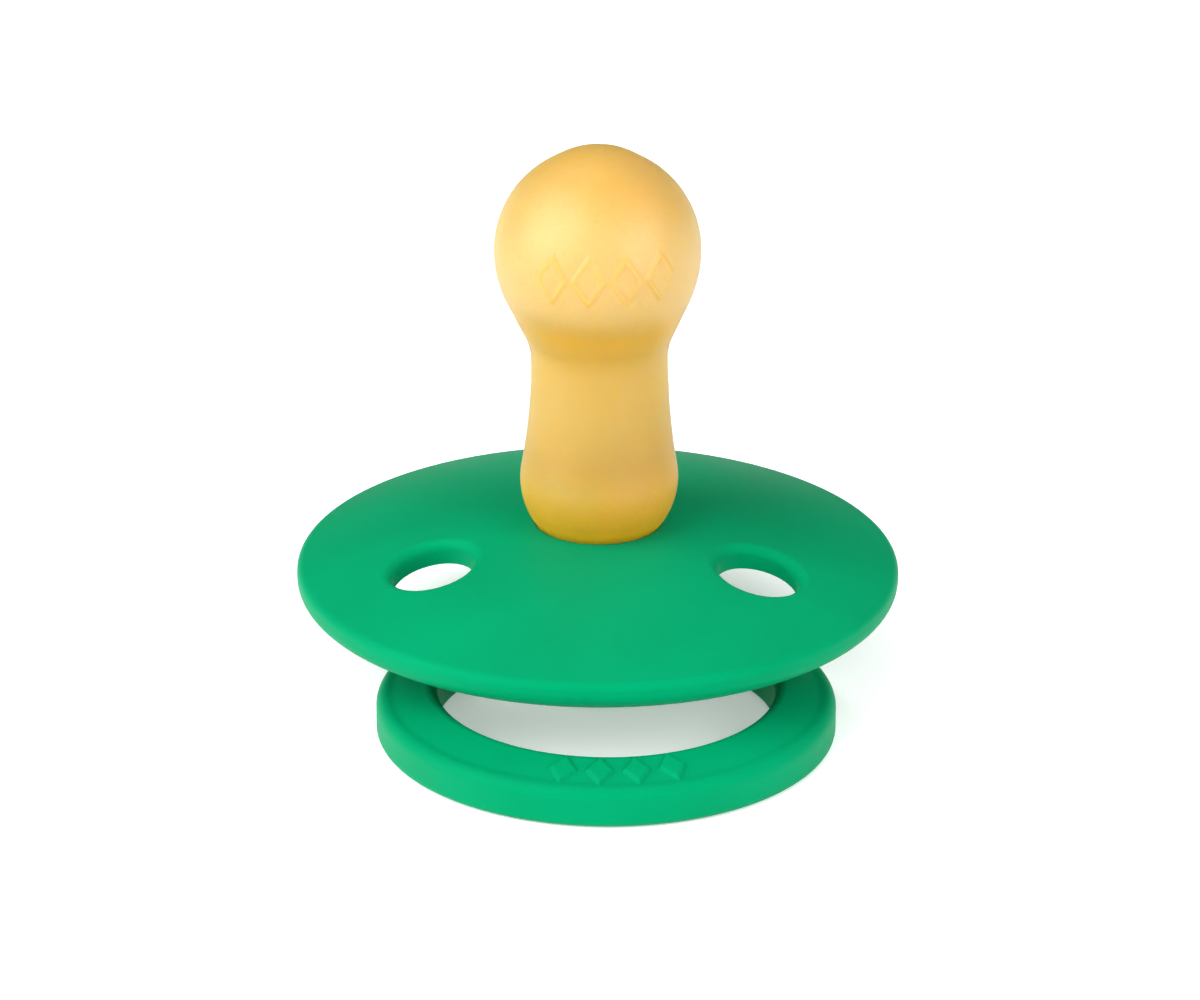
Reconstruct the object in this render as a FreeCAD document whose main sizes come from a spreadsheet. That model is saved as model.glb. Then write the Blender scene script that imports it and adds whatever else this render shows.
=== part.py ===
import FreeCAD, Part
import math
import os
import Sketcher

# Baby's pacifier: a hollow teat locked in a round domed shield by a button knob,
# with a pull ring hinged on the knob's sides. Lengths are in millimetres and
# angles in degrees. +Z runs along the teat and the origin is the centre of the
# knob's flat face, which the pacifier stands on. The ring lies towards -Y.

DIMENSIONS = {
    "shield_radius": 22.05,
    "shield_dome_radius": 71.0,
    "shield_web": 1.72,
    "shield_turn": -5.1,
    "rim_bottom_height": 6.31,
    "rim_thickness": 2.08,
    "rim_width": 2.3,
    "rim_top_fillet": 0.64,
    "rim_bottom_fillet": 1.25,
    "bore_radius": 4.6,
    "bore_fillet": 0.2,
    "collar_inner_radius": 6.75,
    "collar_outer_radius": 8.2,
    "collar_bottom_height": 7.4,
    "collar_fillet": 0.4,
    "vent_across": 11.7,
    "vent_forward": 6.1,
    "vent_half_width": 2.9,
    "vent_half_length": 3.22,
    "vent_lean": 25.0,
    "vent_fillet": 0.7,
    "teat_top_height": 40.47,
    "teat_tip_radius": 5.98,
    "bulb_height": 32.74,
    "bulb_radius": 7.47,
    "bulb_lower_radius": 8.63,
    "waist_fillet": 4.8,
    "waist_radius": 4.97,
    "neck_curve_radius": 49.0,
    "foot_height": 15.12,
    "foot_radius": 5.76,
    "flange_radius": 6.6,
    "flange_top_height": 10.05,
    "flange_thickness": 1.5,
    "teat_wall": 1.3,
    "knob_radius": 7.8,
    "knob_height": 4.7,
    "knob_fillet": 0.9,
    "knob_top_fillet": 0.5,
    "face_line_radius": 5.6,
    "face_line_width": 0.5,
    "face_line_depth": 0.3,
    "knob_neck_radius": 6.4,
    "cheek_distance": 7.0,
    "spigot_radius": 3.25,
    "spigot_head_radius": 4.25,
    "spigot_head_height": 13.7,
    "spigot_head_length": 1.5,
    "spigot_tip_radius": 2.6,
    "spigot_tip_height": 17.1,
    "spigot_core_radius": 1.7,
    "spigot_core_depth": 14.1,
    "socket_radius": 1.25,
    "socket_depth": 2.3,
    "hinge_height": 2.2,
    "pin_radius": 1.2,
    "pin_length": 2.4,
    "pin_chamfer": 0.3,
    "knuckle_radius": 2.15,
    "knuckle_end": 12.2,
    "knuckle_chamfer": 0.6,
    "arm_gap": 0.3,
    "ring_forward": 11.0,
    "ring_inner_radius": 12.15,
    "ring_outer_radius": 16.57,
    "ring_lip_height": 3.7,
    "ring_lip_radius": 0.7,
    "ring_crest_height": 2.92,
    "ring_crest_radius": 0.9,
    "ring_valley_radius": 1.5,
    "ring_bottom_fillet": 0.5,
}

document = FreeCAD.newDocument("pacifier")
sheet = document.addObject("Spreadsheet::Sheet", "Sheet")


def fill_sheet():
    for row, (alias, size) in enumerate(DIMENSIONS.items(), start=1):
        sheet.set("A%d" % row, alias)
        sheet.set("B%d" % row, str(size))
        sheet.setAlias("B%d" % row, alias)
    document.recompute()


def size(alias):
    return DIMENSIONS[alias]


def point(across, up):
    return FreeCAD.Vector(across, up, 0)


def new_body(label):
    body = document.addObject("PartDesign::Body", label)
    body.Label = label
    return body


def new_sketch(body, name, plane_role):
    sketch = body.newObject("Sketcher::SketchObject", name)
    plane = next(item for item in body.Origin.OriginFeatures if item.Role == plane_role)
    sketch.AttachmentSupport = [(plane, "")]
    sketch.MapMode = "FlatFace"
    return sketch


def bind(sketch, constraint_name, index, formula):
    sketch.renameConstraint(index, constraint_name)
    sketch.setExpression("Constraints." + constraint_name, formula)


def dimension(sketch, name, kind, arguments, formula):
    """Add a dimension constraint that follows a formula of sheet cells."""
    index = sketch.addConstraint(Sketcher.Constraint(kind, *arguments))
    bind(sketch, name, index, formula)


def add_polygon(sketch, corners):
    """Add a closed outline of straight lines, its level and upright lines held so."""
    first = sketch.GeometryCount
    count = len(corners)
    for index, start in enumerate(corners):
        end = corners[(index + 1) % count]
        sketch.addGeometry(Part.LineSegment(point(*start), point(*end)))
        if abs(start[0] - end[0]) < 1e-6:
            sketch.addConstraint(Sketcher.Constraint("Vertical", first + index))
        elif abs(start[1] - end[1]) < 1e-6:
            sketch.addConstraint(Sketcher.Constraint("Horizontal", first + index))
    for index in range(count):
        following = first + (index + 1) % count
        sketch.addConstraint(Sketcher.Constraint("Coincident", first + index, 2, following, 1))
    return first


def place_corner(sketch, line, name, across=None, up=None):
    """Hold the start of a line at a distance across and up from the sketch origin."""
    if across:
        start = sketch.getPoint(line, 1).x
        dimension(sketch, name + "_across", "DistanceX", (-1, 1, line, 1, start), across)
    if up:
        start = sketch.getPoint(line, 1).y
        dimension(sketch, name + "_up", "DistanceY", (-1, 1, line, 1, start), up)


def add_arc(sketch, centre, radius, start_angle, end_angle):
    circle = Part.Circle(point(*centre), FreeCAD.Vector(0, 0, 1), radius)
    return sketch.addGeometry(Part.ArcOfCircle(circle, start_angle, end_angle))


def add_line(sketch, start, end):
    return sketch.addGeometry(Part.LineSegment(point(*start), point(*end)))


def join(sketch, kind, first, first_end, second, second_end):
    sketch.addConstraint(Sketcher.Constraint(kind, first, first_end, second, second_end))


def revolve(body, kind, name, sketch, axis="V_Axis"):
    feature = body.newObject(kind, name)
    feature.Profile = sketch
    feature.ReferenceAxis = (sketch, [axis])
    feature.Angle = 360
    document.recompute()
    return feature


def pocket_through(body, name, sketch):
    volume = body.Shape.Volume
    feature = body.newObject("PartDesign::Pocket", name)
    feature.Profile = sketch
    feature.Type = "ThroughAll"
    feature.Midplane = True
    document.recompute()
    if not body.Shape.Volume < volume - 1e-6:
        raise RuntimeError(name + " removed nothing")
    return feature


def mirror(body, name, original):
    """Repeat a feature on the other side of the plane x = 0."""
    feature = body.newObject("PartDesign::Mirrored", name)
    feature.Originals = [original]
    plane = next(item for item in body.Origin.OriginFeatures if item.Role == "YZ_Plane")
    feature.MirrorPlane = (plane, [""])
    body.Tip = feature
    document.recompute()
    return feature


def dress(body, kind, name, formula, chosen):
    """Fillet or chamfer the edges of the body's tip that the test picks out."""
    base = body.Tip
    names = ["Edge%d" % number for number, edge in enumerate(base.Shape.Edges, 1) if chosen(edge)]
    if not names:
        raise RuntimeError(name + " found no edge")
    feature = body.newObject(kind, name)
    feature.Base = (base, names)
    feature.setExpression("Radius" if kind.endswith("Fillet") else "Size", formula)
    document.recompute()
    return feature


def circle_at(radius, height):
    """Make a test for a level circle round the Z axis with the given radius and height."""
    def chosen(edge):
        if not isinstance(edge.Curve, Part.Circle):
            return False
        middle = edge.Curve.Center
        same_place = math.dist((middle.x, middle.y, middle.z), (0, 0, height)) < 0.01
        return same_place and abs(edge.Curve.Radius - radius) < 0.01
    return chosen


def teat_skin(sketch):
    """Half outline of the teat: pointed bulb, waist, swelling foot and flange."""
    tip_radius, bulb_radius = size("teat_tip_radius"), size("bulb_radius")
    bulb = (0, size("bulb_height"))
    tip = (0, size("teat_top_height") - tip_radius)
    lower_radius, waist_fillet = size("bulb_lower_radius"), size("waist_fillet")
    neck_radius, foot_radius = size("neck_curve_radius"), size("foot_radius")
    foot = (0, size("foot_height"))
    neck_across = size("waist_radius") + neck_radius
    waist_height = foot[1] + math.sqrt((neck_radius + foot_radius) ** 2 - neck_across ** 2)
    neck = (neck_across, waist_height)
    lower = (bulb_radius - lower_radius, bulb[1])
    waist = (size("waist_radius") + waist_fillet, waist_height)

    cone_angle = math.asin((bulb_radius - tip_radius) / (tip[1] - bulb[1]))
    apart = math.dist(lower, waist)
    slope = math.atan2(lower[1] - waist[1], waist[0] - lower[0])
    shoulder_angle = slope - math.acos((lower_radius + waist_fillet) / apart)
    swell_angle = math.atan2(neck[1] - foot[1], neck[0] - foot[0])
    seat_angle = -math.acos(size("bore_radius") / foot_radius)

    def on_circle(centre, radius, angle):
        return centre[0] + radius * math.cos(angle), centre[1] + radius * math.sin(angle)

    tip_arc = add_arc(sketch, tip, tip_radius, cone_angle, math.pi / 2)
    cone = add_line(sketch, on_circle(tip, tip_radius, cone_angle),
                    on_circle(bulb, bulb_radius, cone_angle))
    upper_arc = add_arc(sketch, bulb, bulb_radius, 0, cone_angle)
    lower_arc = add_arc(sketch, lower, lower_radius, -shoulder_angle, 0)
    shoulder = add_line(sketch, on_circle(lower, lower_radius, -shoulder_angle),
                        on_circle(waist, waist_fillet, math.pi - shoulder_angle))
    waist_arc = add_arc(sketch, waist, waist_fillet, math.pi - shoulder_angle, math.pi)
    neck_arc = add_arc(sketch, neck, neck_radius, math.pi, math.pi + swell_angle)
    foot_arc = add_arc(sketch, foot, foot_radius, seat_angle, swell_angle)

    seat = on_circle(foot, foot_radius, seat_angle)
    flange_top = size("flange_top_height")
    flange_bottom = flange_top - size("flange_thickness")
    flange_radius = size("flange_radius")
    groove = add_line(sketch, seat, (seat[0], flange_top))
    flange_upper = add_line(sketch, (seat[0], flange_top), (flange_radius, flange_top))
    flange_side = add_line(sketch, (flange_radius, flange_top), (flange_radius, flange_bottom))
    flange_lower = add_line(sketch, (flange_radius, flange_bottom), (0, flange_bottom))
    middle = add_line(sketch, (0, flange_bottom), (0, size("teat_top_height")))

    for first, first_end, second, second_end in (
            (tip_arc, 1, cone, 1), (cone, 2, upper_arc, 2), (upper_arc, 1, lower_arc, 2),
            (lower_arc, 1, shoulder, 1), (shoulder, 2, waist_arc, 1),
            (waist_arc, 2, neck_arc, 1), (neck_arc, 2, foot_arc, 2)):
        join(sketch, "Tangent", first, first_end, second, second_end)
    for first, first_end, second, second_end in (
            (foot_arc, 1, groove, 1), (groove, 2, flange_upper, 1),
            (flange_upper, 2, flange_side, 1), (flange_side, 2, flange_lower, 1),
            (flange_lower, 2, middle, 1), (middle, 2, tip_arc, 2)):
        join(sketch, "Coincident", first, first_end, second, second_end)
    for arc in (tip_arc, upper_arc, foot_arc):
        sketch.addConstraint(Sketcher.Constraint("PointOnObject", arc, 3, -2))
    for line in (groove, flange_side):
        sketch.addConstraint(Sketcher.Constraint("Vertical", line))
    for line in (flange_upper, flange_lower):
        sketch.addConstraint(Sketcher.Constraint("Horizontal", line))
    sketch.addConstraint(Sketcher.Constraint("PointOnObject", middle, 1, -2))
    join(sketch, "Horizontal", upper_arc, 3, lower_arc, 3)
    join(sketch, "Horizontal", waist_arc, 3, neck_arc, 3)

    for arc, alias in ((tip_arc, "teat_tip_radius"), (upper_arc, "bulb_radius"),
                       (lower_arc, "bulb_lower_radius"), (waist_arc, "waist_fillet"),
                       (neck_arc, "neck_curve_radius"), (foot_arc, "foot_radius")):
        dimension(sketch, alias, "Radius", (arc, size(alias)), "Sheet." + alias)
    for geometry, end, alias in ((tip_arc, 2, "teat_top_height"), (upper_arc, 3, "bulb_height"),
                                 (foot_arc, 3, "foot_height"), (groove, 2, "flange_top_height")):
        dimension(sketch, alias, "DistanceY", (-1, 1, geometry, end, size(alias)), "Sheet." + alias)
    for geometry, end, alias in ((neck_arc, 1, "waist_radius"), (groove, 1, "bore_radius"),
                                 (flange_side, 1, "flange_radius")):
        dimension(sketch, alias, "DistanceX", (-1, 1, geometry, end, size(alias)), "Sheet." + alias)
    dimension(sketch, "flange_thickness", "DistanceY",
              (flange_side, 2, flange_side, 1, size("flange_thickness")), "Sheet.flange_thickness")


def teat_hollow(sketch):
    """Half outline of the teat's inside, which grips the knob's mushroom spigot."""
    bulb = (0, size("bulb_height"))
    inner_radius = size("bulb_radius") - size("teat_wall")
    neck_radius = size("waist_radius") - size("teat_wall")
    neck_top = size("bulb_height") - inner_radius * 1.2
    reach = math.hypot(neck_radius, bulb[1] - neck_top)
    cone_angle = math.atan2(neck_top - bulb[1], neck_radius) + math.acos(inner_radius / reach)
    tangent = (inner_radius * math.cos(cone_angle), bulb[1] + inner_radius * math.sin(cone_angle))
    head_top = size("spigot_head_height") + size("spigot_head_length")
    head_cone = size("spigot_tip_height") - head_top
    head_taper = size("spigot_head_radius") - size("spigot_tip_radius")
    meet = head_top + head_cone * (size("spigot_head_radius") - neck_radius) / head_taper
    mouth = size("flange_top_height") - size("flange_thickness")
    undercut = size("spigot_head_radius") - size("spigot_radius")

    dome = add_arc(sketch, bulb, inner_radius, cone_angle, math.pi / 2)
    corners = [tangent, (neck_radius, neck_top), (neck_radius, meet),
               (size("spigot_head_radius"), head_top),
               (size("spigot_head_radius"), size("spigot_head_height")),
               (size("spigot_radius"), size("spigot_head_height") - undercut),
               (size("spigot_radius"), mouth), (0, mouth), (0, bulb[1] + inner_radius)]
    lines = [add_line(sketch, start, end) for start, end in zip(corners, corners[1:])]
    cone, neck, head_upper, head_side, head_lower, throat, opening, middle = lines
    join(sketch, "Tangent", dome, 1, cone, 1)
    join(sketch, "Coincident", middle, 2, dome, 2)
    for first, second in zip(lines, lines[1:]):
        join(sketch, "Coincident", first, 2, second, 1)
    for line in (neck, head_side, throat):
        sketch.addConstraint(Sketcher.Constraint("Vertical", line))
    sketch.addConstraint(Sketcher.Constraint("Horizontal", opening))
    for geometry, end in ((dome, 3), (middle, 1), (middle, 2)):
        sketch.addConstraint(Sketcher.Constraint("PointOnObject", geometry, end, -2))
    dimension(sketch, "inside_radius", "Radius", (dome, inner_radius),
              "Sheet.bulb_radius - Sheet.teat_wall")
    dimension(sketch, "bulb_height", "DistanceY", (-1, 1, dome, 3, bulb[1]), "Sheet.bulb_height")
    place_corner(sketch, neck, "neck", "Sheet.waist_radius - Sheet.teat_wall",
                 "Sheet.bulb_height - 1.2 * (Sheet.bulb_radius - Sheet.teat_wall)")
    place_corner(sketch, head_side, "head", "Sheet.spigot_head_radius",
                 "Sheet.spigot_head_height + Sheet.spigot_head_length")
    place_corner(sketch, head_lower, "undercut", None, "Sheet.spigot_head_height")
    place_corner(sketch, throat, "throat", "Sheet.spigot_radius",
                 "Sheet.spigot_head_height - Sheet.spigot_head_radius + Sheet.spigot_radius")
    place_corner(sketch, opening, "mouth", None, "Sheet.flange_top_height - Sheet.flange_thickness")
    taper = "(Sheet.spigot_tip_height - Sheet.spigot_head_height - Sheet.spigot_head_length)"
    share = "(Sheet.spigot_head_radius - Sheet.waist_radius + Sheet.teat_wall)"
    span = "(Sheet.spigot_head_radius - Sheet.spigot_tip_radius)"
    place_corner(sketch, head_upper, "meet", None,
                 "Sheet.spigot_head_height + Sheet.spigot_head_length + " + taper + " * " + share
                 + " / " + span)


def build_teat():
    body = new_body("teat")
    skin = new_sketch(body, "TeatSkin", "XZ_Plane")
    teat_skin(skin)
    revolve(body, "PartDesign::Revolution", "TeatSolid", skin)
    hollow = new_sketch(body, "TeatHollow", "XZ_Plane")
    teat_hollow(hollow)
    revolve(body, "PartDesign::Groove", "TeatCavity", hollow)
    return body


def shield_section(sketch):
    """Half outline of the shield: domed web, thicker rim, bore and locating collar."""
    outer, web = size("shield_dome_radius"), size("shield_web")
    rim_radius, rim_bottom = size("shield_radius"), size("rim_bottom_height")
    rim_top = rim_bottom + size("rim_thickness")
    rim_inner = rim_radius - size("rim_width")
    centre = (0, rim_top - math.sqrt(outer ** 2 - rim_radius ** 2))

    def dome_height(radius, across):
        return centre[1] + math.sqrt(radius ** 2 - across ** 2)

    bore, collar_inner = size("bore_radius"), size("collar_inner_radius")
    collar_outer, collar_bottom = size("collar_outer_radius"), size("collar_bottom_height")
    seat = size("flange_top_height")
    inner = outer - web
    top = add_arc(sketch, centre, outer, math.acos(rim_radius / outer), math.acos(bore / outer))
    under = add_arc(sketch, centre, inner, math.acos(rim_inner / inner),
                    math.acos(collar_outer / inner))
    rim = [(rim_radius, rim_top), (rim_radius, rim_bottom), (rim_inner, rim_bottom),
           (rim_inner, dome_height(inner, rim_inner))]
    collar = [(collar_outer, dome_height(inner, collar_outer)), (collar_outer, collar_bottom),
              (collar_inner, collar_bottom), (collar_inner, seat), (bore, seat),
              (bore, dome_height(outer, bore))]
    rim_wall, rim_base, rim_step = [add_line(sketch, a, b) for a, b in zip(rim, rim[1:])]
    lines = [add_line(sketch, a, b) for a, b in zip(collar, collar[1:])]
    collar_wall, collar_base, recess_wall, recess_top, bore_wall = lines
    for first, first_end, second, second_end in (
            (top, 1, rim_wall, 1), (rim_wall, 2, rim_base, 1), (rim_base, 2, rim_step, 1),
            (rim_step, 2, under, 1), (under, 2, collar_wall, 1), (collar_wall, 2, collar_base, 1),
            (collar_base, 2, recess_wall, 1), (recess_wall, 2, recess_top, 1),
            (recess_top, 2, bore_wall, 1), (bore_wall, 2, top, 2), (top, 3, under, 3)):
        join(sketch, "Coincident", first, first_end, second, second_end)
    for line in (rim_wall, rim_step, collar_wall, recess_wall, bore_wall):
        sketch.addConstraint(Sketcher.Constraint("Vertical", line))
    for line in (rim_base, collar_base, recess_top):
        sketch.addConstraint(Sketcher.Constraint("Horizontal", line))
    sketch.addConstraint(Sketcher.Constraint("PointOnObject", top, 3, -2))
    dimension(sketch, "dome", "Radius", (top, outer), "Sheet.shield_dome_radius")
    dimension(sketch, "underside", "Radius", (under, inner),
              "Sheet.shield_dome_radius - Sheet.shield_web")
    place_corner(sketch, rim_wall, "rim", "Sheet.shield_radius",
                 "Sheet.rim_bottom_height + Sheet.rim_thickness")
    place_corner(sketch, rim_step, "rim_step", "Sheet.shield_radius - Sheet.rim_width",
                 "Sheet.rim_bottom_height")
    place_corner(sketch, collar_base, "collar", "Sheet.collar_outer_radius",
                 "Sheet.collar_bottom_height")
    place_corner(sketch, recess_top, "recess", "Sheet.collar_inner_radius",
                 "Sheet.flange_top_height")
    place_corner(sketch, bore_wall, "bore", "Sheet.bore_radius", None)


def vent_outline(sketch):
    """One oval vent hole, its long axis leaning towards the bore."""
    centre = (size("vent_across"), -size("vent_forward"))
    lean = math.radians(size("vent_lean"))
    long_axis, short_axis = size("vent_half_length"), size("vent_half_width")
    major = (centre[0] - long_axis * math.sin(lean), centre[1] + long_axis * math.cos(lean))
    minor = (centre[0] + short_axis * math.cos(lean), centre[1] + short_axis * math.sin(lean))
    oval = sketch.addGeometry(Part.Ellipse(point(*major), point(*minor), point(*centre)))
    sketch.exposeInternalGeometry(oval)
    long_line, short_line = oval + 1, oval + 2
    dimension(sketch, "across", "DistanceX", (-1, 1, oval, 3, centre[0]), "Sheet.vent_across")
    dimension(sketch, "forward", "DistanceY", (oval, 3, -1, 1, -centre[1]), "Sheet.vent_forward")
    dimension(sketch, "length", "Distance", (long_line, 2 * long_axis),
              "2 * Sheet.vent_half_length")
    dimension(sketch, "width", "Distance", (short_line, 2 * short_axis),
              "2 * Sheet.vent_half_width")


def build_shield():
    body = new_body("shield")
    section = new_sketch(body, "ShieldSection", "XZ_Plane")
    shield_section(section)
    revolve(body, "PartDesign::Revolution", "ShieldSolid", section)
    rim_top = size("rim_bottom_height") + size("rim_thickness")
    dress(body, "PartDesign::Fillet", "RimTopFillet", "Sheet.rim_top_fillet",
          circle_at(size("shield_radius"), rim_top))
    dress(body, "PartDesign::Fillet", "RimBottomFillet", "Sheet.rim_bottom_fillet",
          circle_at(size("shield_radius"), size("rim_bottom_height")))
    vent = new_sketch(body, "VentOval", "XY_Plane")
    vent_outline(vent)
    right_vent = pocket_through(body, "RightVent", vent)
    mirror(body, "LeftVent", right_vent)
    dress(body, "PartDesign::Fillet", "VentFillets", "Sheet.vent_fillet", is_vent_mouth)
    centre = rim_top - math.sqrt(size("shield_dome_radius") ** 2 - size("shield_radius") ** 2)
    bore_top = centre + math.sqrt(size("shield_dome_radius") ** 2 - size("bore_radius") ** 2)
    dress(body, "PartDesign::Fillet", "BoreFillet", "Sheet.bore_fillet",
          circle_at(size("bore_radius"), bore_top))
    dress(body, "PartDesign::Fillet", "RimStepFillet", "Sheet.collar_fillet",
          circle_at(size("shield_radius") - size("rim_width"), size("rim_bottom_height")))
    dress(body, "PartDesign::Fillet", "CollarFillet", "Sheet.collar_fillet",
          circle_at(size("collar_outer_radius"), size("collar_bottom_height")))
    body.Placement.Rotation = FreeCAD.Rotation(FreeCAD.Vector(0, 0, 1), 0)
    body.setExpression("Placement.Rotation.Angle", "Sheet.shield_turn * 1 deg")
    return body


def is_vent_mouth(edge):
    """Tell whether an edge runs round a vent hole's mouth on the teat's side."""
    box = edge.BoundBox
    aside = math.hypot(box.Center.x, box.Center.y)
    near = abs(aside - math.hypot(size("vent_across"), size("vent_forward"))) < 1.5
    above = box.Center.z > size("flange_top_height")
    return near and above and box.XLength > size("vent_half_width") and box.ZLength < 2


def build_knob():
    body = new_body("knob")
    section = new_sketch(body, "KnobSection", "XZ_Plane")
    shoulder = size("flange_top_height") - size("flange_thickness")
    head_top = size("spigot_head_height") + size("spigot_head_length")
    undercut = size("spigot_head_radius") - size("spigot_radius")
    core_floor = size("spigot_tip_height") - size("spigot_core_depth")
    corners = [
        (0, 0, None, None),
        (size("knob_radius"), 0, "Sheet.knob_radius", None),
        (size("knob_radius"), size("knob_height"), None, "Sheet.knob_height"),
        (size("knob_neck_radius"), size("knob_height"), "Sheet.knob_neck_radius", None),
        (size("knob_neck_radius"), shoulder, None,
         "Sheet.flange_top_height - Sheet.flange_thickness"),
        (size("spigot_radius"), shoulder, "Sheet.spigot_radius", None),
        (size("spigot_radius"), size("spigot_head_height") - undercut, None,
         "Sheet.spigot_head_height - Sheet.spigot_head_radius + Sheet.spigot_radius"),
        (size("spigot_head_radius"), size("spigot_head_height"), "Sheet.spigot_head_radius",
         "Sheet.spigot_head_height"),
        (size("spigot_head_radius"), head_top, None,
         "Sheet.spigot_head_height + Sheet.spigot_head_length"),
        (size("spigot_tip_radius"), size("spigot_tip_height"), "Sheet.spigot_tip_radius",
         "Sheet.spigot_tip_height"),
        (size("spigot_core_radius"), size("spigot_tip_height"), "Sheet.spigot_core_radius", None),
        (size("spigot_core_radius"), core_floor, None,
         "Sheet.spigot_tip_height - Sheet.spigot_core_depth"),
        (0, core_floor, None, None),
    ]
    first = add_polygon(section, [corner[:2] for corner in corners])
    for index, (_, _, across, up) in enumerate(corners):
        place_corner(section, first + index, "corner%d" % index, across, up)
    join(section, "Coincident", first, 1, -1, 1)
    revolve(body, "PartDesign::Revolution", "KnobSolid", section)
    dress(body, "PartDesign::Fillet", "KnobFaceFillet", "Sheet.knob_fillet",
          circle_at(size("knob_radius"), 0))
    dress(body, "PartDesign::Fillet", "KnobTopFillet", "Sheet.knob_top_fillet",
          circle_at(size("knob_radius"), size("knob_height")))

    line_section = new_sketch(body, "FaceLineSection", "XZ_Plane")
    inner = size("face_line_radius")
    outer, deep = inner + size("face_line_width"), size("face_line_depth")
    groove = add_polygon(line_section, [(inner, 0), (outer, 0), (outer, deep), (inner, deep)])
    place_corner(line_section, groove, "inner", "Sheet.face_line_radius", None)
    place_corner(line_section, groove + 2, "outer",
                 "Sheet.face_line_radius + Sheet.face_line_width", "Sheet.face_line_depth")
    revolve(body, "PartDesign::Groove", "FaceLine", line_section)

    cheek = new_sketch(body, "CheekCut", "XY_Plane")
    near, far = size("cheek_distance"), size("knob_radius") + 1
    half = size("knob_radius") / 2 + 1
    cheek_line = add_polygon(cheek, [(near, -half), (far, -half), (far, half), (near, half)])
    place_corner(cheek, cheek_line, "near", "Sheet.cheek_distance", None)
    right_cheek = pocket_through(body, "RightCheek", cheek)
    mirror(body, "LeftCheek", right_cheek)

    socket = new_sketch(body, "SocketSection", "XZ_Plane")
    bottom, axis_height = near - size("socket_depth"), size("hinge_height")
    socket_line = add_polygon(socket, [(bottom, axis_height), (far, axis_height),
                                       (far, axis_height + size("socket_radius")),
                                       (bottom, axis_height + size("socket_radius"))])
    place_corner(socket, socket_line, "bottom", "Sheet.cheek_distance - Sheet.socket_depth",
                 "Sheet.hinge_height")
    place_corner(socket, socket_line + 3, "wall", None, "Sheet.hinge_height + Sheet.socket_radius")
    add_axis(socket, bottom, far, axis_height)
    right_socket = revolve(body, "PartDesign::Groove", "RightSocket", socket, "Axis0")
    mirror(body, "LeftSocket", right_socket)
    return body


def add_axis(sketch, start, end, height):
    """Add a level construction line to turn a section about."""
    axis = add_line(sketch, (start, height), (end, height))
    sketch.toggleConstruction(axis)
    sketch.addConstraint(Sketcher.Constraint("Horizontal", axis))
    dimension(sketch, "axis_height", "DistanceY", (-1, 1, axis, 1, height), "Sheet.hinge_height")


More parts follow.
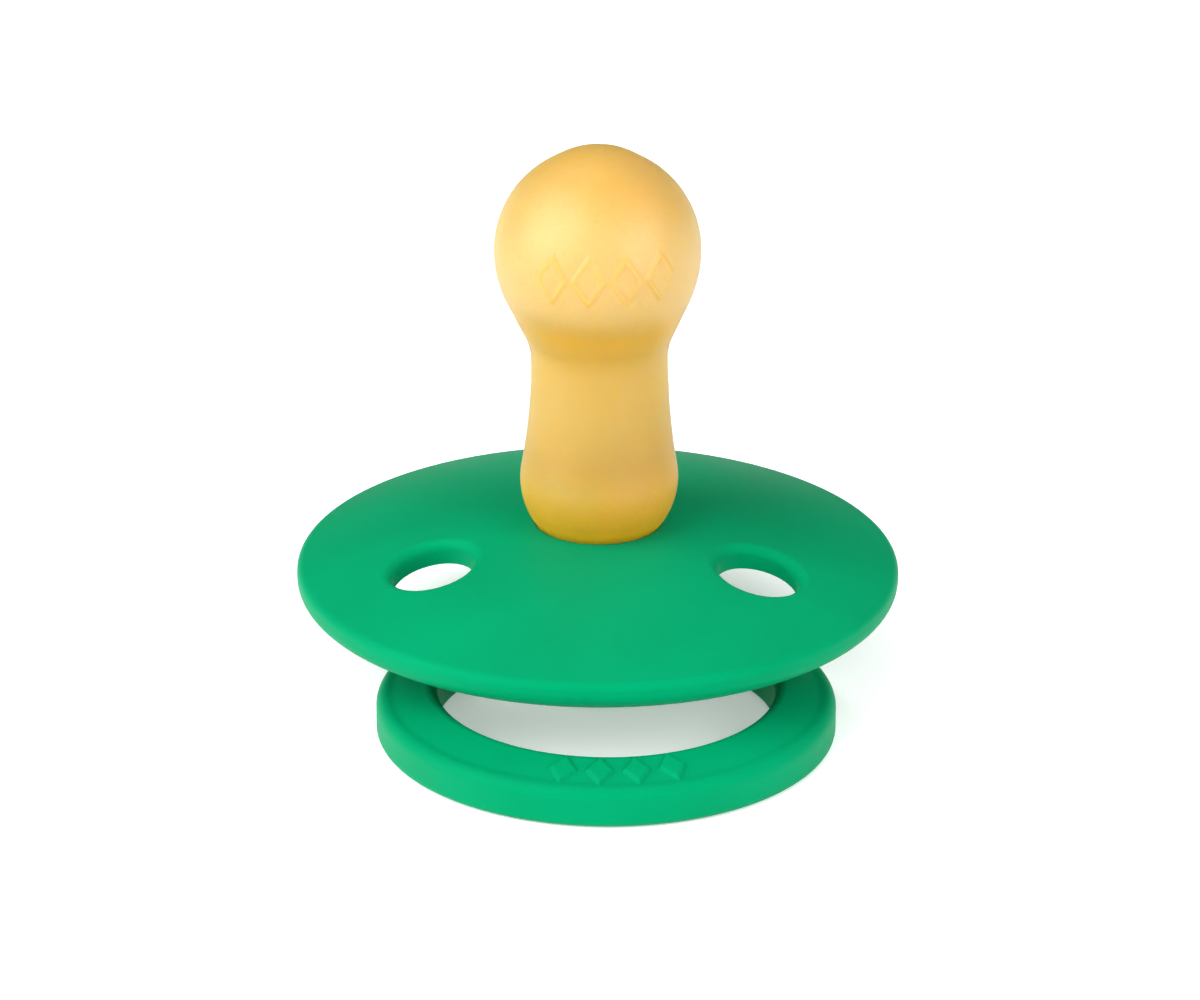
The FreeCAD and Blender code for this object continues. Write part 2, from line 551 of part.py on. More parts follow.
def ring_section(sketch):
    """Cross-section of the ring: a high inner lip sloping down to a lower outer crest."""
    middle = -size("ring_forward")
    outer, inner = middle - size("ring_outer_radius"), middle - size("ring_inner_radius")
    lip, crest, valley = size("ring_lip_radius"), size("ring_crest_radius"), size("ring_valley_radius")
    lip_top, crest_top = size("ring_lip_height"), size("ring_crest_height")
    bottom_fillet = size("ring_bottom_fillet")
    lip_centre = (inner - lip, lip_top - lip)
    crest_centre = (outer + crest, crest_top - crest)
    valley_centre = (crest_centre[0], crest_top + valley)
    across, rise = lip_centre[0] - valley_centre[0], valley_centre[1] - lip_centre[1]
    slope = math.asin((lip + valley) / math.hypot(across, rise)) - math.atan2(rise, across)
    slope_normal = (-math.sin(slope), math.cos(slope))
    slope_top = (lip_centre[0] + lip * slope_normal[0], lip_centre[1] + lip * slope_normal[1])
    slope_foot = (valley_centre[0] - valley * slope_normal[0],
                  valley_centre[1] - valley * slope_normal[1])

    floor = add_line(sketch, (outer + bottom_fillet, 0), (inner - bottom_fillet, 0))
    inner_low = add_arc(sketch, (inner - bottom_fillet, bottom_fillet), bottom_fillet,
                        -math.pi / 2, 0)
    inner_wall = add_line(sketch, (inner, bottom_fillet), (inner, lip_centre[1]))
    lip_arc = add_arc(sketch, lip_centre, lip, 0, math.pi / 2 + slope)
    slope_line = add_line(sketch, slope_top, slope_foot)
    valley_arc = add_arc(sketch, valley_centre, valley, -math.pi / 2, slope - math.pi / 2)
    crest_arc = add_arc(sketch, crest_centre, crest, math.pi / 2, math.pi)
    outer_wall = add_line(sketch, (outer, crest_centre[1]), (outer, bottom_fillet))
    outer_low = add_arc(sketch, (outer + bottom_fillet, bottom_fillet), bottom_fillet,
                        math.pi, 3 * math.pi / 2)
    for first, first_end, second, second_end in (
            (floor, 2, inner_low, 1), (inner_low, 2, inner_wall, 1), (inner_wall, 2, lip_arc, 1),
            (lip_arc, 2, slope_line, 1), (slope_line, 2, valley_arc, 2),
            (valley_arc, 1, crest_arc, 1), (crest_arc, 2, outer_wall, 1),
            (outer_wall, 2, outer_low, 1), (outer_low, 2, floor, 1)):
        join(sketch, "Tangent", first, first_end, second, second_end)
    sketch.addConstraint(Sketcher.Constraint("PointOnObject", floor, 1, -1))
    sketch.addConstraint(Sketcher.Constraint("Horizontal", floor))
    for line in (inner_wall, outer_wall):
        sketch.addConstraint(Sketcher.Constraint("Vertical", line))
    join(sketch, "Vertical", crest_arc, 3, crest_arc, 1)
    sketch.addConstraint(Sketcher.Constraint("Equal", inner_low, outer_low))
    for arc, alias in ((outer_low, "ring_bottom_fillet"), (crest_arc, "ring_crest_radius"),
                       (lip_arc, "ring_lip_radius"), (valley_arc, "ring_valley_radius")):
        dimension(sketch, alias, "Radius", (arc, size(alias)), "Sheet." + alias)
    dimension(sketch, "outer", "DistanceX", (outer_wall, 1, -1, 1, -outer),
              "Sheet.ring_forward + Sheet.ring_outer_radius")
    dimension(sketch, "inner", "DistanceX", (inner_wall, 1, -1, 1, -inner),
              "Sheet.ring_forward + Sheet.ring_inner_radius")
    dimension(sketch, "lip_height", "DistanceY", (-1, 1, lip_arc, 3, lip_centre[1]),
              "Sheet.ring_lip_height - Sheet.ring_lip_radius")
    dimension(sketch, "crest_height", "DistanceY", (-1, 1, crest_arc, 3, crest_centre[1]),
              "Sheet.ring_crest_height - Sheet.ring_crest_radius")
    axis = add_line(sketch, (middle, 0), (middle, lip_top))
    sketch.toggleConstruction(axis)
    sketch.addConstraint(Sketcher.Constraint("Vertical", axis))
    dimension(sketch, "middle", "DistanceX", (axis, 1, -1, 1, -middle), "Sheet.ring_forward")


def build_ring():
    body = new_body("ring")
    section = new_sketch(body, "RingSection", "YZ_Plane")
    ring_section(section)
    revolve(body, "PartDesign::Revolution", "RingSolid", section, "Axis0")

    opening = new_sketch(body, "KnobOpening", "XY_Plane")
    arm = size("cheek_distance") + size("arm_gap")
    wide, back = size("ring_outer_radius") + 1, size("ring_outer_radius")
    front = -size("ring_forward")
    first = add_polygon(opening, [(arm, front), (arm, 0), (wide, 0), (wide, back),
                                  (-wide, back), (-wide, 0), (-arm, 0), (-arm, front)])
    place_corner(opening, first, "right_arm", "Sheet.cheek_distance + Sheet.arm_gap", None)
    pocket_through(body, "KnobSpace", opening)

    knuckle = new_sketch(body, "KnuckleSection", "XZ_Plane")
    axis_height = size("hinge_height")
    pin_top, knuckle_top = axis_height + size("pin_radius"), axis_height + size("knuckle_radius")
    pin_end, knuckle_end = arm - size("pin_length"), size("knuckle_end")
    chamfer = size("knuckle_chamfer")
    corners = [(pin_end, axis_height), (knuckle_end, axis_height),
               (knuckle_end, knuckle_top - chamfer), (knuckle_end - chamfer, knuckle_top),
               (arm, knuckle_top), (arm, pin_top), (pin_end, pin_top)]
    line = add_polygon(knuckle, corners)
    place_corner(knuckle, line, "pin_end", "Sheet.cheek_distance + Sheet.arm_gap - Sheet.pin_length",
                 "Sheet.hinge_height")
    place_corner(knuckle, line + 2, "knuckle_low", "Sheet.knuckle_end",
                 "Sheet.hinge_height + Sheet.knuckle_radius - Sheet.knuckle_chamfer")
    place_corner(knuckle, line + 3, "knuckle_high", "Sheet.knuckle_end - Sheet.knuckle_chamfer",
                 "Sheet.hinge_height + Sheet.knuckle_radius")
    place_corner(knuckle, line + 5, "pin", "Sheet.cheek_distance + Sheet.arm_gap",
                 "Sheet.hinge_height + Sheet.pin_radius")
    add_axis(knuckle, pin_end, knuckle_end, axis_height)
    right_knuckle = revolve(body, "PartDesign::Revolution", "RightKnuckle", knuckle, "Axis0")
    mirror(body, "LeftKnuckle", right_knuckle)
    dress(body, "PartDesign::Chamfer", "PinChamfers", "Sheet.pin_chamfer", is_pin_tip)
    return body


def is_pin_tip(edge):
    """Tell whether an edge is the round end of a hinge pin."""
    tip = size("cheek_distance") + size("arm_gap") - size("pin_length")
    if not isinstance(edge.Curve, Part.Circle):
        return False
    same_size = abs(edge.Curve.Radius - size("pin_radius")) < 0.01
    return same_size and abs(abs(edge.Curve.Center.x) - tip) < 0.01


def check_and_export(bodies):
    document.recompute()
    for item in document.Objects:
        if "Invalid" in item.State or "Error" in item.State:
            raise RuntimeError(item.Name + " has an error")
        if item.isDerivedFrom("Sketcher::SketchObject") and item.solve() != 0:
            raise RuntimeError(item.Name + " does not solve")
    os.makedirs("parts", exist_ok=True)
    for body in bodies:
        shape = body.Shape
        if shape.isNull() or not shape.isValid() or len(shape.Solids) != 1:
            raise RuntimeError(body.Label + " is not one valid solid")
        shape.exportStep("parts/" + body.Label + ".step")
        box = shape.BoundBox
        print("%-7s %8.1f mm3  x %.2f..%.2f  y %.2f..%.2f  z %.2f..%.2f" % (
            body.Label, shape.Volume, box.XMin, box.XMax, box.YMin, box.YMax, box.ZMin, box.ZMax))


fill_sheet()
check_and_export([build_teat(), build_shield(), build_knob(), build_ring()])
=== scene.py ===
import math

import bmesh
import bpy
from mathutils import Matrix, Vector


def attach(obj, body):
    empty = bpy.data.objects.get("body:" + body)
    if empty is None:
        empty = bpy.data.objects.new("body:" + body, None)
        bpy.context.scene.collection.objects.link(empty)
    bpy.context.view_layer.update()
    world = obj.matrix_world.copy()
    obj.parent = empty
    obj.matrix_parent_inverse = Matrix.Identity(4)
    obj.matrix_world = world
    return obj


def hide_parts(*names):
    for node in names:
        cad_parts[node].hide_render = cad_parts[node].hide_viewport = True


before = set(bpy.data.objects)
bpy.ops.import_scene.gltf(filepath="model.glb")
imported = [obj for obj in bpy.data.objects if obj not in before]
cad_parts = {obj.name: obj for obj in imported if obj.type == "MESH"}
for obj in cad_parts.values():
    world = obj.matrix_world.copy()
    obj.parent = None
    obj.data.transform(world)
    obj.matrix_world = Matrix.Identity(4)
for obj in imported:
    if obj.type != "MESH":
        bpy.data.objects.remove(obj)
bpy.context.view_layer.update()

MM = 0.001

# Colours with three whole numbers are 8-bit sRGB. Scatter distances are in metres, and each
# spread scales one for red, green and blue.
PLASTIC_DEEP, PLASTIC_LIGHT = (0, 123, 79), (0, 129, 84)
PLASTIC_SPECULAR = 0.06
PLASTIC_SPECULAR_TINT = (0.1, 1.0, 0.72, 1.0)
PLASTIC_ROUGHNESS = 0.46, 0.54
PLASTIC_SCATTER, PLASTIC_SCATTER_SPREAD = 0.0008, (0.3, 1.0, 0.6)
FLOW_SCALE, PEEL_SCALE, PLASTIC_GRAIN_SCALE = 110, 900, 7000
FLOW_RANGE = 0.3, 0.7

LATEX_PALE, LATEX_DEEP = (228, 200, 122), (234, 182, 20)
# The foot's colour is the deeper orange of thicker latex, with painted shade for the dark hollow
# seen through the wall.
LATEX_NECK, LATEX_FOOT_THICKNESS_AND_SHADE = (210, 174, 14), (216, 160, 4)
# The rim's colour is a painted glow along the seat's lowest edge.
LATEX_PAINTED_RIM_GLOW = (255, 176, 6)
LATEX_ROUGHNESS = 0.5
LATEX_SCATTER, LATEX_SCATTER_SPREAD = 0.004, (1.0, 0.7, 0.25)
CLOUD_SCALE, SPECKLE_SCALE, LATEX_GRAIN_SCALE = 130, 2600, 4200

# ---------------------------------------------------------------- camera (angles in degrees)
SENSOR_WIDTH, LENS = 36.0, 183.87
CAMERA_AZIMUTH, CAMERA_ELEVATION, CAMERA_ROLL = -3.43, 23.7, 0.30
CAMERA_DISTANCE = 450 * MM
RIM_CENTRE_HEIGHT = 7.655 * MM
# The lens points this far right of and above the centre of the shield's rim.
AIM_RIGHT, AIM_UP = 0.0215, 0.65155
CLIP_START, CLIP_END = 0.01, 20


def make_camera():
    """A long lens, above the shield's plane and a little left of the pacifier's front."""
    azimuth, elevation, roll = (math.radians(angle) for angle in (
        CAMERA_AZIMUTH, CAMERA_ELEVATION, CAMERA_ROLL))
    back = Vector((math.sin(azimuth) * math.cos(elevation),
                   -math.cos(azimuth) * math.cos(elevation), math.sin(elevation)))
    level_right = Vector((math.cos(azimuth), math.sin(azimuth), 0))
    level_up = back.cross(level_right)
    right = level_right * math.cos(roll) + level_up * math.sin(roll)
    up = level_up * math.cos(roll) - level_right * math.sin(roll)
    place = Vector((0, 0, RIM_CENTRE_HEIGHT)) + back * CAMERA_DISTANCE
    aim_right, aim_up = (math.tan(math.radians(angle)) for angle in (AIM_RIGHT, AIM_UP))
    forward = (right * aim_right + up * aim_up - back).normalized()
    true_right = forward.cross(up).normalized()
    true_up = true_right.cross(forward)
    camera = bpy.data.objects.new("camera", bpy.data.cameras.new("camera"))
    bpy.context.scene.collection.objects.link(camera)
    camera.matrix_world = Matrix((
        (true_right.x, true_up.x, -forward.x, place.x),
        (true_right.y, true_up.y, -forward.y, place.y),
        (true_right.z, true_up.z, -forward.z, place.z),
        (0, 0, 0, 1)))
    camera.data.sensor_width = SENSOR_WIDTH
    camera.data.lens = LENS
    camera.data.clip_start = CLIP_START
    camera.data.clip_end = CLIP_END
    bpy.context.scene.camera = camera


# ---------------------------------------------------------------- node helpers
def new_material(name):
    material = bpy.data.materials.new(name)
    material.use_nodes = True
    tree = material.node_tree
    tree.nodes.clear()
    return material, tree


def node(tree, kind, inputs=None, **settings):
    """Add a node; each input is either a value or another node's output."""
    made = tree.nodes.new(kind)
    for key, value in settings.items():
        setattr(made, key, value)
    for key, value in (inputs or {}).items():
        socket = made.inputs[key]
        if isinstance(value, bpy.types.NodeSocket):
            tree.links.new(value, socket)
        else:
            socket.default_value = value
    return made


def finish_material(material, tree, shader):
    node(tree, "ShaderNodeOutputMaterial", {"Surface": shader.outputs[0]})
    return material


def linear(red, green, blue):
    """An 8-bit sRGB colour as linear RGBA."""
    def channel(value):
        value /= 255
        return value / 12.92 if value <= 0.04045 else ((value + 0.055) / 1.055) ** 2.4
    return channel(red), channel(green), channel(blue), 1.0


def noise_value(tree, coordinates, scale, detail=2.0, roughness=0.5):
    made = node(tree, "ShaderNodeTexNoise",
                {"Vector": coordinates, "Scale": scale, "Detail": detail, "Roughness": roughness})
    return made.outputs["Fac"]


def remap(tree, value, low, high, out_low, out_high):
    """Turn low..high into out_low..out_high, and hold the ends beyond them."""
    made = node(tree, "ShaderNodeMapRange",
                {"Value": value, "From Min": low, "From Max": high,
                 "To Min": out_low, "To Max": out_high})
    return made.outputs["Result"]


def mix_colour(tree, factor, first, second):
    made = node(tree, "ShaderNodeMix", data_type="RGBA")
    for index, value in ((0, factor), (6, first), (7, second)):
        if isinstance(value, bpy.types.NodeSocket):
            tree.links.new(value, made.inputs[index])
        else:
            made.inputs[index].default_value = value
    return made.outputs[2]


# ---------------------------------------------------------------- materials
def satin_plastic(name):
    """Green moulded polypropylene: fine satin grain, orange peel and faint flow marks."""
    material, tree = new_material(name)
    place = node(tree, "ShaderNodeTexCoord").outputs["Object"]
    flow = noise_value(tree, place, FLOW_SCALE, 3.0)
    grain = noise_value(tree, place, PLASTIC_GRAIN_SCALE, 3.0, 0.6)
    orange_peel = noise_value(tree, place, PEEL_SCALE)
    flow_mix = remap(tree, flow, *FLOW_RANGE, 0, 1)
    colour = mix_colour(tree, flow_mix, linear(*PLASTIC_DEEP), linear(*PLASTIC_LIGHT))
    peel = node(tree, "ShaderNodeBump",
                {"Height": orange_peel, "Strength": 0.15, "Distance": 0.02 * MM})
    bump = node(tree, "ShaderNodeBump",
                {"Height": grain, "Strength": 0.22, "Distance": 0.01 * MM,
                 "Normal": peel.outputs["Normal"]})
    shader = node(tree, "ShaderNodeBsdfPrincipled", {
        "Base Color": colour,
        "Roughness": remap(tree, flow, *FLOW_RANGE, *PLASTIC_ROUGHNESS),
        "IOR": 1.49,
        "Specular IOR Level": PLASTIC_SPECULAR,
        "Specular Tint": PLASTIC_SPECULAR_TINT,
        "Subsurface Weight": 0.15,
        "Subsurface Scale": PLASTIC_SCATTER,
        "Subsurface Radius": PLASTIC_SCATTER_SPREAD,
        "Normal": bump.outputs["Normal"],
    })
    return finish_material(material, tree, shader)


# The latex changes with height (mm). The deeper band at the waist's fold, partly thicker latex and
# partly painted shade under the bulb's overhang: its height, reach and strength.
FOLD_THICKNESS_AND_SHADE_HEIGHT, FOLD_THICKNESS_AND_SHADE_REACH, FOLD_THICKNESS_AND_SHADE_STRENGTH = 27.9, 2.0, 0.7
# Tints, some of them painted shade or painted glow: where each starts and ends, its strength at
# both, and its colour.
LATEX_TINT_AND_SHADE_BANDS = (
    (26.0, 30.0, 0.55, 0, LATEX_NECK),
    # Painted shade: the bulb's top turns deeper amber, standing in for the darker top where the
    # light falls across it.
    (36.5, 40.0, 0, 0.4, LATEX_DEEP),
    # Foot: deeper orange where the latex is thicker, plus painted shade for the dark hollow seen
    # through the wall near the seat.
    (12.0, 21.0, 1, 0, LATEX_FOOT_THICKNESS_AND_SHADE),
    # Painted glow: a bright orange line along the seat's lowest edge, in place of light carried
    # through the rubber into the shaded contact.
    (12.1, 12.9, 1, 0, LATEX_PAINTED_RIM_GLOW),
)
# Gloss and clearness: where each change starts and ends, and the value at both.
LATEX_SPECULAR = 24, 30, 0.5, 1.0
LATEX_CLEARNESS = 12.5, 17.5, 0.3, 0.6


def by_height(tree, height, low, high, low_value, high_value):
    """A value that changes between two heights in mm."""
    return remap(tree, height, low * MM, high * MM, low_value, high_value)


def latex_colour(tree, place, height):
    """Pale amber with random clouds, deeper at the neck and along raised lines; deeper at the
    waist's fold from thicker latex and painted shade under the bulb; painted shade on the bulb's
    top; a deeper foot, partly thicker latex and partly painted shade of the dark hollow; and a
    painted glow along the seat's edge.
    """
    deep = linear(*LATEX_DEEP)
    clouds = noise_value(tree, place, CLOUD_SCALE)
    cloud_mix = remap(tree, clouds, 0.35, 0.65, 0, 0.35)
    colour = mix_colour(tree, cloud_mix, linear(*LATEX_PALE), deep)
    # Thicker latex plus painted shade: the colour deepens at the waist's fold, where the bulb's
    # overhang shades it.
    waist = node(tree, "ShaderNodeMath", {0: height, 1: FOLD_THICKNESS_AND_SHADE_HEIGHT * MM},
                 operation="SUBTRACT")
    away = node(tree, "ShaderNodeMath", {0: waist.outputs[0]}, operation="ABSOLUTE")
    fold_thickness_and_shade = remap(tree, away.outputs[0], 0, FOLD_THICKNESS_AND_SHADE_REACH * MM, FOLD_THICKNESS_AND_SHADE_STRENGTH, 0)
    colour = mix_colour(tree, fold_thickness_and_shade, colour, deep)
    for *band, tint in LATEX_TINT_AND_SHADE_BANDS:
        colour = mix_colour(tree, by_height(tree, height, *band), colour, linear(*tint))
    raised = node(tree, "ShaderNodeAttribute", attribute_name="raised").outputs["Fac"]
    colour = mix_colour(tree, remap(tree, raised, 0, 1, 0, 0.55), colour, deep)
    speckle = noise_value(tree, place, SPECKLE_SCALE, 2.0, 0.7)
    return mix_colour(tree, remap(tree, speckle, 0.5, 0.7, 0, 0.3), colour, deep)


def latex(name):
    """Amber natural rubber: a scattering, partly clear body with a frosted satin skin."""
    material, tree = new_material(name)
    place = node(tree, "ShaderNodeTexCoord").outputs["Object"]
    height = node(tree, "ShaderNodeSeparateXYZ", {"Vector": place}).outputs["Z"]
    grain = noise_value(tree, place, LATEX_GRAIN_SCALE, 3.0, 0.65)
    bump = node(tree, "ShaderNodeBump", {"Height": grain, "Strength": 0.25, "Distance": 0.02 * MM})
    shader = node(tree, "ShaderNodeBsdfPrincipled", {
        "Base Color": latex_colour(tree, place, height),
        "Roughness": LATEX_ROUGHNESS,
        "IOR": 1.5,
        "Specular IOR Level": by_height(tree, height, *LATEX_SPECULAR),
        "Transmission Weight": by_height(tree, height, *LATEX_CLEARNESS),
        "Subsurface Weight": 1.0,
        "Subsurface Scale": LATEX_SCATTER,
        "Subsurface Radius": LATEX_SCATTER_SPREAD,
        "Normal": bump.outputs["Normal"],
    })
    return finish_material(material, tree, shader)


# ---------------------------------------------------------------- shape helpers
def diamond_distance(across, along, half_across, half_along):
    """Distance (mm) outside a diamond's edge, negative inside it."""
    steep = math.hypot(1 / half_across, 1 / half_along)
    return (abs(across) / half_across + abs(along) / half_along - 1) / steep


def row_centres(count, pitch):
    """Places of evenly spaced items in a row that is centred on zero."""
    return [(place - (count - 1) / 2) * pitch for place in range(count)]


def smooth_step(value):
    """0 below 0, 1 above 1 and a soft S between."""
    value = min(max(value, 0), 1)
    return value * value * (3 - 2 * value)


def arc_points(centre, radius, start, end, count):
    """Points along an arc from start to end angle, both in radians."""
    return [(centre[0] + radius * math.cos(start + (end - start) * step / count),
             centre[1] + radius * math.sin(start + (end - start) * step / count))
            for step in range(count + 1)]


def smooth_object(name, builder):
    """Make a smooth-shaded object from a bmesh, and free the bmesh."""
    mesh = bpy.data.meshes.new(name)
    bmesh.ops.recalc_face_normals(builder, faces=builder.faces)
    builder.to_mesh(mesh)
    builder.free()
    for polygon in mesh.polygons:
        polygon.use_smooth = True
    made = bpy.data.objects.new(name, mesh)
    bpy.context.scene.collection.objects.link(made)
    return made


# ---------------------------------------------------------------- teat (mm)
TIP_RADIUS, TIP_CENTRE = 5.98, 34.49
BULB_RADIUS, BULB_HEIGHT = 7.47, 32.74
BULB_LOWER_RADIUS = 8.63
WAIST_RADIUS, WAIST_FILLET = 4.97, 4.8
NECK_CURVE = 49.0
FOOT_RADIUS, FOOT_HEIGHT = 5.76, 15.12
BORE_RADIUS, BORE_GAP = 4.6, 0.02
GROOVE_TOP = 11.0
FLANGE_RADIUS, FLANGE_GAP = 6.6, 0.03
FLANGE_LOW, FLANGE_TOP = 8.55, 10.05
FLANGE_SOFT = 0.25
TEAT_WALL = 1.3
THROAT_RADIUS, THROAT_TOP = 3.25, 12.7
HEAD_RADIUS, HEAD_LOW, HEAD_TOP = 4.25, 13.7, 15.2
INNER_NECK_RADIUS, INNER_NECK_LOW, INNER_NECK_STEPS = 3.67, 15.87, 16
INNER_BULB_START = math.radians(-53.5)

# The soft teat leans: its neck stands a little right of its seat, and its bulb a little left.
NECK_LEAN, BULB_LEAN = 0.08, -0.12
LEAN_LOW, LEAN_HIGH = 22.0, 31.0

# Four outlined diamonds on the front of the bulb.
MARK_COUNT, MARK_PITCH = 4, 2.75
MARK_HEIGHT, MARK_RISE = 33.0, 0.15
MARK_HALF_ACROSS, MARK_HALF_ALONG, MARK_LINE = 1.1, 1.65, 0.17
MARK_FRONT = -math.pi / 2 + math.radians(2.0)
# This far up or down (mm) or round (radians) from the row's middle, nothing is raised any more.
MARK_FAR_UP, MARK_FAR_TURN = 3, 1.2
FINE_HALF, FINE_STEP = math.radians(52), math.radians(0.8)
COARSE_STEP = math.radians(3.5)


def teat_skin():
    """Outside of the teat from the tip down to the groove that the shield sits in."""
    neck_centre = WAIST_RADIUS + NECK_CURVE
    waist = FOOT_HEIGHT + math.sqrt((NECK_CURVE + FOOT_RADIUS) ** 2 - neck_centre ** 2)
    lower_centre = (BULB_RADIUS - BULB_LOWER_RADIUS, BULB_HEIGHT)
    waist_centre = (WAIST_RADIUS + WAIST_FILLET, waist)
    cone = math.asin((BULB_RADIUS - TIP_RADIUS) / (TIP_CENTRE - BULB_HEIGHT))
    slope = math.atan2(BULB_HEIGHT - waist, waist_centre[0] - lower_centre[0])
    reach = (BULB_LOWER_RADIUS + WAIST_FILLET) / math.dist(lower_centre, waist_centre)
    shoulder = slope - math.acos(reach)
    swell = math.atan2(waist - FOOT_HEIGHT, neck_centre)
    seat = -math.acos(BORE_RADIUS / FOOT_RADIUS)
    skin = arc_points((0, TIP_CENTRE), TIP_RADIUS, math.pi / 2, cone, 14)
    skin += arc_points((0, BULB_HEIGHT), BULB_RADIUS, cone, 0, 56)
    skin += arc_points(lower_centre, BULB_LOWER_RADIUS, 0, -shoulder, 44)[1:]
    skin += arc_points(waist_centre, WAIST_FILLET, math.pi - shoulder, math.pi, 14)
    skin += arc_points((neck_centre, waist), NECK_CURVE, math.pi, math.pi + swell, 24)[1:]
    skin += arc_points((0, FOOT_HEIGHT), FOOT_RADIUS, swell, seat, 24)[1:]
    return skin


def teat_inside():
    """Groove, flange, throat, the knob head's pocket and the hollow, up to the tip inside."""
    groove = BORE_RADIUS - BORE_GAP
    flange = FLANGE_RADIUS - FLANGE_GAP
    soft = FLANGE_SOFT
    inner_radius = BULB_RADIUS - TEAT_WALL
    neck_top = BULB_HEIGHT + inner_radius * math.sin(INNER_BULB_START)
    rise = (neck_top - INNER_NECK_LOW) / INNER_NECK_STEPS
    inside = [(groove, GROOVE_TOP), (groove, FLANGE_TOP + soft), (groove + soft, FLANGE_TOP),
              (flange - soft, FLANGE_TOP), (flange, FLANGE_TOP - soft),
              (flange, FLANGE_LOW + soft), (flange - soft, FLANGE_LOW),
              (THROAT_RADIUS + soft, FLANGE_LOW), (THROAT_RADIUS, FLANGE_LOW + soft),
              (THROAT_RADIUS, THROAT_TOP), (HEAD_RADIUS, HEAD_LOW), (HEAD_RADIUS, HEAD_TOP)]
    inside += [(INNER_NECK_RADIUS, INNER_NECK_LOW + rise * step)
               for step in range(INNER_NECK_STEPS)]
    inside += arc_points((0, BULB_HEIGHT), inner_radius, INNER_BULB_START, math.pi / 2, 30)
    return inside


def teat_columns():
    """Angles round the axis, close together at the front where the raised diamonds are."""
    fine = [MARK_FRONT - FINE_HALF + FINE_STEP * step
            for step in range(round(2 * FINE_HALF / FINE_STEP))]
    rest = 2 * math.pi - 2 * FINE_HALF
    count = round(rest / COARSE_STEP)
    return fine + [MARK_FRONT + FINE_HALF + rest * step / count for step in range(count)]


def mark_lift(angle, up):
    """How far a point of the bulb's skin is raised, from 0 to 1 on a diamond's outline."""
    turn = (angle - MARK_FRONT + math.pi) % (2 * math.pi) - math.pi
    if abs(up - MARK_HEIGHT) >= MARK_FAR_UP or abs(turn) >= MARK_FAR_TURN:
        return 0.0
    return max(math.exp(-(diamond_distance(turn * BULB_RADIUS - centre, up - MARK_HEIGHT,
                                           MARK_HALF_ACROSS, MARK_HALF_ALONG) / MARK_LINE) ** 2)
               for centre in row_centres(MARK_COUNT, MARK_PITCH))


def lean_at(up):
    """Sideways lean of the soft teat at a height; none at the flange."""
    foot = min(max((up - FLANGE_TOP) / (FOOT_HEIGHT - FLANGE_TOP), 0), 1)
    level = smooth_step((up - LEAN_LOW) / (LEAN_HIGH - LEAN_LOW))
    return NECK_LEAN * foot + (BULB_LEAN - NECK_LEAN) * level


def teat_rings(builder, skin, inside):
    """Rings of vertices down the skin and up the inside; the two ends are single vertices."""
    raised = builder.verts.layers.float.new("raised")
    columns = teat_columns()
    rings = []
    for row, (across, up) in enumerate(skin + inside):
        if across < 1e-6:
            rings.append([builder.verts.new((lean_at(up) * MM, 0, up * MM))])
            continue
        ring = []
        for angle in columns:
            lift = mark_lift(angle, up) if row < len(skin) else 0.0
            radius = across + MARK_RISE * lift
            vertex = builder.verts.new(((radius * math.cos(angle) + lean_at(up)) * MM,
                                        radius * math.sin(angle) * MM, up * MM))
            vertex[raised] = lift
            ring.append(vertex)
        rings.append(ring)
    return rings


def join_rings(builder, upper, lower):
    """Fill the space between two rings of vertices, either of which may be a single vertex."""
    count = max(len(upper), len(lower))
    for here in range(count):
        following = (here + 1) % count
        if len(upper) == 1:
            builder.faces.new((upper[0], lower[here], lower[following]))
        elif len(lower) == 1:
            builder.faces.new((upper[here], lower[0], upper[following]))
        else:
            builder.faces.new((upper[here], lower[here], lower[following], upper[following]))


def make_teat():
    """The hollow teat, turned about Z, with diamonds raised on its front."""
    builder = bmesh.new()
    rings = teat_rings(builder, teat_skin(), teat_inside())
    for upper, lower in zip(rings, rings[1:]):
        join_rings(builder, upper, lower)
    teat = smooth_object("latex_teat", builder)
    teat.data.materials.append(latex("latex"))
    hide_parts("teat")
    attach(teat, "soother")


# ---------------------------------------------------------------- diamonds on the ring (mm)
RING_CENTRE_Y = -11.0
LIP_ACROSS, LIP_UP, LIP_RADIUS = 12.85, 3.0, 0.7
CREST_ACROSS, CREST_TOP, VALLEY_RADIUS = 15.67, 2.92, 1.5
PIP_COUNT, PIP_PITCH, PIP_MIDDLE = 4, 2.6, 14.25
PIP_HALF_ACROSS, PIP_HALF_ALONG, PIP_MARGIN = 1.0, 1.35, 0.2
PIP_RAISE, PIP_SINK, PIP_EDGE, PIP_DEPTH = 0.26, 0.1, 0.4, 1.4
PIP_STEPS = 28


def ring_top_height(radius):
    """Height of the ring's sloping top at a distance from the ring's own axis."""
    across, valley_up = CREST_ACROSS - LIP_ACROSS, CREST_TOP + VALLEY_RADIUS
    rise = valley_up - LIP_UP
    lean = math.asin((LIP_RADIUS + VALLEY_RADIUS) / math.hypot(across, rise))
    slope = lean - math.atan2(rise, across)
    if radius < LIP_ACROSS + LIP_RADIUS * math.sin(slope):
        return LIP_UP + math.sqrt(LIP_RADIUS ** 2 - (radius - LIP_ACROSS) ** 2)
    if radius > CREST_ACROSS - VALLEY_RADIUS * math.sin(slope):
        return valley_up - math.sqrt(VALLEY_RADIUS ** 2 - (radius - CREST_ACROSS) ** 2)
    return LIP_UP + LIP_RADIUS / math.cos(slope) - (radius - LIP_ACROSS) * math.tan(slope)


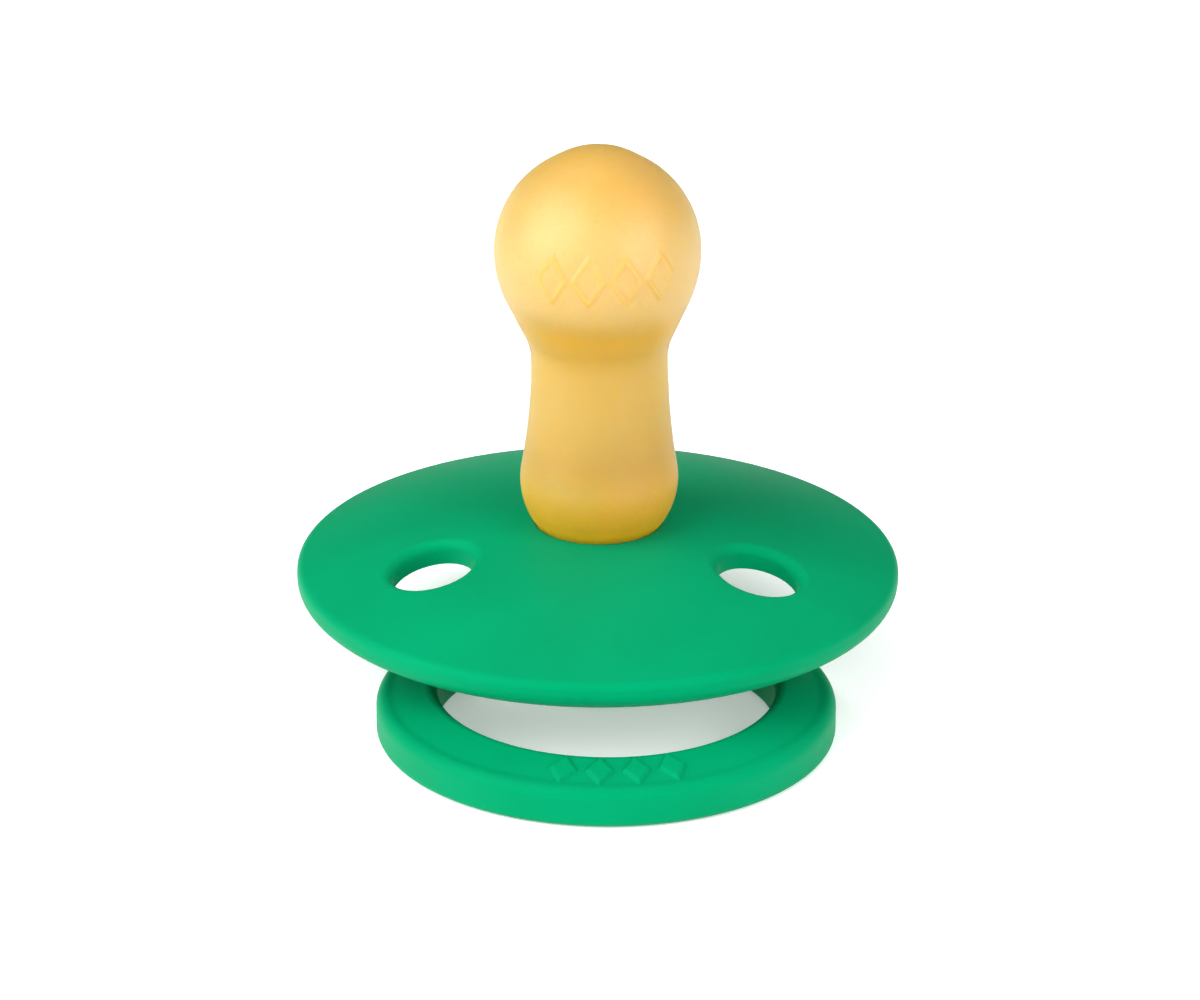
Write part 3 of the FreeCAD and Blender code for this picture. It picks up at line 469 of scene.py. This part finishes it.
def pip_vertex(builder, centre, across, along):
    """A point of one pip's top, raised inside the diamond and sunk in the ring outside it."""
    away = diamond_distance(across, along, PIP_HALF_ACROSS, PIP_HALF_ALONG)
    level = smooth_step((PIP_EDGE / 2 - away) / PIP_EDGE)
    radius = PIP_MIDDLE + along
    angle = -math.pi / 2 + (centre + across) / PIP_MIDDLE
    up = ring_top_height(radius) - PIP_SINK + (PIP_RAISE + PIP_SINK) * level
    return builder.verts.new((radius * math.cos(angle) * MM,
                              (RING_CENTRE_Y + radius * math.sin(angle)) * MM, up * MM))


def fill_grid(builder, rows):
    for low, high in zip(rows, rows[1:]):
        for left in range(len(low) - 1):
            builder.faces.new((low[left], low[left + 1], high[left + 1], high[left]))


def grid_edge(rows):
    """The vertices round the edge of a grid, each once and in order."""
    return (rows[0][:-1] + [row[-1] for row in rows[:-1]]
            + rows[-1][:0:-1] + [row[0] for row in rows[:0:-1]])


def add_pip(builder, centre):
    """One closed pip: the raised top, a flat bottom inside the ring, and upright sides."""
    spread = [2 * step / PIP_STEPS - 1 for step in range(PIP_STEPS + 1)]
    bottom_height = (ring_top_height(PIP_MIDDLE) - PIP_DEPTH) * MM
    top = [[pip_vertex(builder, centre, across * (PIP_HALF_ACROSS + PIP_MARGIN),
                       along * (PIP_HALF_ALONG + PIP_MARGIN)) for across in spread]
           for along in spread]
    bottom = [[builder.verts.new((vertex.co.x, vertex.co.y, bottom_height)) for vertex in row]
              for row in top]
    fill_grid(builder, top)
    fill_grid(builder, bottom)
    join_rings(builder, grid_edge(top), grid_edge(bottom))


def make_ring_pips(material):
    """Four soft raised diamonds on the front of the ring's sloping top."""
    builder = bmesh.new()
    for centre in row_centres(PIP_COUNT, PIP_PITCH):
        add_pip(builder, centre)
    pips = smooth_object("ring_pips", builder)
    pips.data.materials.append(material)
    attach(pips, "pull_ring")


# ---------------------------------------------------------------- stage and light
FLOOR_GAP = 0.1 * MM
FLOOR_REACH = 3
FLOOR_WHITE, FLOOR_GLOW = (0.9, 0.9, 0.9, 1), 0.3
BRIGHT_SIDE = (0, -0.64, 0.77)
WORLD_LOW, WORLD_HIGH, WORLD_FADE = 0.12, 0.93, (-0.15, 0.4)
LIGHT_TARGET = (0, 0, 0.02)
# name, place, size, power
LIGHTS = (
    ("key", (-0.576, -0.264, 0.49), 0.9, 9.5),
    ("fill", (0.5, -0.5, 0.35), 0.6, 4.5),
    ("side", (-0.65, -0.15, 0.12), 0.4, 1.0),
)


def make_stage():
    """A plain pale floor, just under the pacifier so that no faces coincide."""
    mesh = bpy.data.meshes.new("floor")
    builder = bmesh.new()
    bmesh.ops.create_grid(builder, x_segments=1, y_segments=1, size=FLOOR_REACH)
    builder.to_mesh(mesh)
    builder.free()
    floor = bpy.data.objects.new("floor", mesh)
    floor.location.z = -FLOOR_GAP
    bpy.context.scene.collection.objects.link(floor)
    material, tree = new_material("floor")
    shader = node(tree, "ShaderNodeBsdfPrincipled", {
        "Base Color": FLOOR_WHITE,
        "Roughness": 0.9,
        "Specular IOR Level": 0.1,
        "Emission Color": (1, 1, 1, 1),
        "Emission Strength": FLOOR_GLOW,
    })
    mesh.materials.append(finish_material(material, tree, shader))


def area_light(name, place, size, power):
    light = bpy.data.lights.new(name, "AREA")
    light.shape = "DISK"
    light.size = size
    light.energy = power
    holder = bpy.data.objects.new(name, light)
    bpy.context.scene.collection.objects.link(holder)
    holder.location = place
    holder.rotation_mode = "QUATERNION"
    aim = Vector(LIGHT_TARGET) - Vector(place)
    holder.rotation_quaternion = aim.to_track_quat("-Z", "Y")


def make_world():
    """A white studio, brightest above and in front, with a dim wall behind."""
    world = bpy.data.worlds.new("studio")
    bpy.context.scene.world = world
    world.use_nodes = True
    tree = world.node_tree
    direction = node(tree, "ShaderNodeTexCoord").outputs["Generated"]
    toward = node(tree, "ShaderNodeVectorMath", {0: direction, 1: BRIGHT_SIDE},
                  operation="DOT_PRODUCT").outputs["Value"]
    background = tree.nodes["Background"]
    background.inputs["Color"].default_value = (1, 1, 1, 1)
    level = remap(tree, toward, *WORLD_FADE, WORLD_LOW, WORLD_HIGH)
    tree.links.new(level, background.inputs["Strength"])


def colour_plastic_pieces():
    """Give the CAD's own plastic pieces their material, and the ring its raised diamonds."""
    for name in ("shield", "knob", "ring"):
        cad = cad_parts[name]
        plastic = satin_plastic(name + "_plastic")
        cad.data.materials.clear()
        cad.data.materials.append(plastic)
        if name == "ring":
            make_ring_pips(plastic)


make_camera()
make_stage()
make_world()
for light in LIGHTS:
    area_light(*light)
bpy.context.scene.view_settings.view_transform = "Standard"
make_teat()
colour_plastic_pieces()
